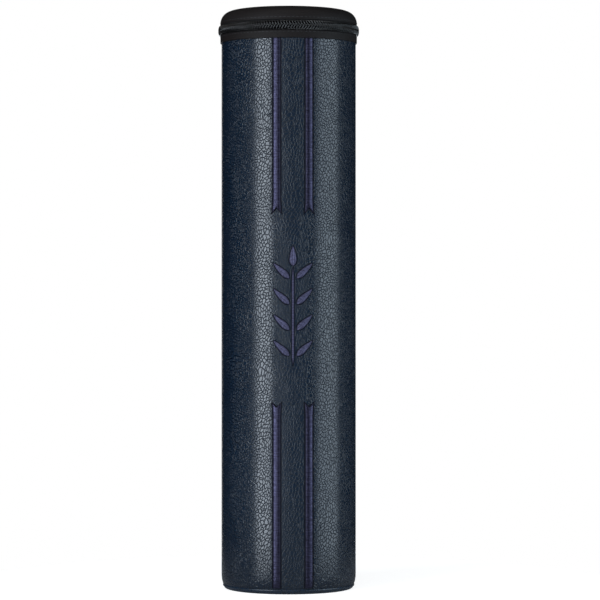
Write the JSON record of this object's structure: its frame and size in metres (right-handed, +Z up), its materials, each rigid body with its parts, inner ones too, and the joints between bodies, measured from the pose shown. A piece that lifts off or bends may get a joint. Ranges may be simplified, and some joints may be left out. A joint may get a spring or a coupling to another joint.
{
  "type": "megillah case",
  "caption": "Tall round scroll case covered in leatherette, with a shallow lid that zips round and folds back, raised embroidered stripes and a leaf sprig.",
  "frame": {"origin": "middle of the flat underside of the base", "axes": "+Z up along the tube, -Y towards the embroidered front, +Y towards the hinge strip"},
  "size_m": [0.086, 0.0854, 0.352],
  "materials": {
    "navy_leather": "pebbled navy leatherette, semi-gloss",
    "black_leather": "smooth black leatherette, satin",
    "thread": "violet-blue satin-stitch thread",
    "coil": "black nylon coil",
    "tape": "black woven zip tape",
    "board": "grey-brown board",
    "foam": "thin off-white foam sheet",
    "velvet": "dark blue velvet",
    "slider_metal": "black enamelled zinc"
  },
  "bodies": {
    "case": {"tube_core": "board", "foam_wrap": "foam", "body_cover": "navy_leather", "body_lining": "velvet", "base_board": "board", "base_cover": "navy_leather", "floor_pad": "velvet", "lower_band": "black_leather", "lower_tape": "tape", "lower_teeth": "coil", "hinge_strip": "black_leather", "stripe_upper_left": "thread", "stripe_lower_left": "thread", "stripe_upper_right": "thread", "stripe_lower_right": "thread", "sprig_stem": "thread", "sprig_bud": "thread", "sprig_leaf_left_1": "thread", "sprig_leaf_right_1": "thread", "sprig_leaf_left_2": "thread", "sprig_leaf_right_2": "thread", "sprig_leaf_left_3": "thread", "sprig_leaf_right_3": "thread", "sprig_leaf_left_4": "thread", "sprig_leaf_right_4": "thread"},
    "lid": {"lid_cover": "black_leather", "lid_foam": "foam", "lid_board": "board", "lid_lining": "velvet", "upper_tape": "tape", "upper_teeth": "coil"},
    "slider": {"slider_body": "slider_metal"},
    "pull": {"pull_tab": "slider_metal"}
  },
  "joints": [
    {"name": "lid_hinge", "type": "hinge", "parent": "case", "child": "lid", "pos_m": [0, 0.0425, 0.34], "axis": [-1, 0, 0], "range_deg": [0, 175], "deforming": ["hinge_strip"]},
    {"name": "zip_slide", "type": "hinge", "parent": "case", "child": "slider", "pos_m": [0, 0, 0.34], "axis": [0, 0, -1], "range_deg": [0, 301.6], "deforming": ["lower_tape", "upper_tape", "lower_teeth", "upper_teeth"]},
    {"name": "pull_swing", "type": "hinge", "parent": "slider", "child": "pull", "pos_m": [0.02203, 0.03942, 0.34], "axis": [0, 0, 1], "range_deg": [0, 180]}
  ]
}
